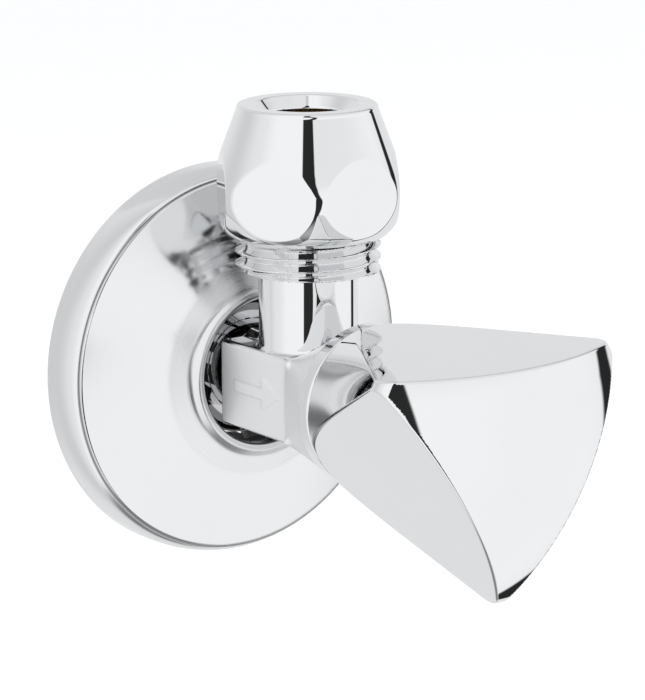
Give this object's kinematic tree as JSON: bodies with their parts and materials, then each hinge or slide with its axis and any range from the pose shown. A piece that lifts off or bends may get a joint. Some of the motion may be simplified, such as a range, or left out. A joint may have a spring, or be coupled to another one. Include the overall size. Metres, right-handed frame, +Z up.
{
  "type": "angle stop valve",
  "caption": "Wall-mounted chrome angle stop valve with a round rosette, an upright compression outlet with a faceted nut, and a three-cornered turning handle.",
  "frame": {"origin": "on the inlet axis, in the plane of the wall that the rosette's rim touches", "axes": "-Y along the valve axis from the wall towards the handle, +Z up along the outlet's axis, +X to the right when facing the handle"},
  "size_m": [0.0582, 0.0893, 0.0701],
  "materials": {
    "chrome": "polished",
    "satin_chrome": "satin",
    "brass": "machined",
    "rubber": "matte",
    "ptfe": "matte",
    "white_plastic": "matte",
    "grey_plastic": "matte",
    "spring_steel": "bright"
  },
  "bodies": {
    "valve": {"valve_body": "chrome", "tail_seal_ring": "ptfe", "headwork_housing": "brass", "housing_o_ring": "rubber", "slide_washer": "ptfe", "retaining_clip": "spring_steel"},
    "rosette": {"wall_rosette": "satin_chrome", "rosette_grip_ring": "grey_plastic"},
    "control": {"handle": "chrome", "handle_insert": "white_plastic", "handle_snap_ring": "spring_steel", "spindle": "brass", "spindle_o_rings": "rubber"},
    "plunger": {"valve_plunger": "brass", "plunger_o_ring": "rubber", "seat_washer": "rubber", "washer_plate": "brass", "washer_screw": "brass"},
    "clamp": {"clamp_ring": "brass"},
    "nut": {"compression_nut": "chrome"}
  },
  "joints": [
    {"name": "handle_turn", "type": "hinge", "parent": "valve", "child": "control", "pos_m": [0, -0.05, 0], "axis": [0, -1, 0], "range_deg": [0, 990]},
    {"name": "plunger_slide", "type": "slide", "parent": "valve", "child": "plunger", "axis": [0, -1, 0], "range_m": [0, 0.00413]},
    {"name": "rosette_slide", "type": "slide", "parent": "valve", "child": "rosette", "axis": [0, -1, 0], "range_m": [-0.008, 0.002]},
    {"name": "clamp_lift", "type": "slide", "parent": "valve", "child": "clamp", "axis": [0, 0, 1], "range_m": [0, 0.0053]},
    {"name": "nut_turn", "type": "hinge", "parent": "clamp", "child": "nut", "pos_m": [0, -0.0245, 0.03], "axis": [0, 0, 1], "range_deg": [0, 1050]}
  ],
  "couplings": [
    {"joint": "plunger_slide", "follows": "handle_turn", "m_per_rad": 0.00023873},
    {"joint": "clamp_lift", "follows": "nut_turn", "m_per_rad": 0.00028871}
  ]
}
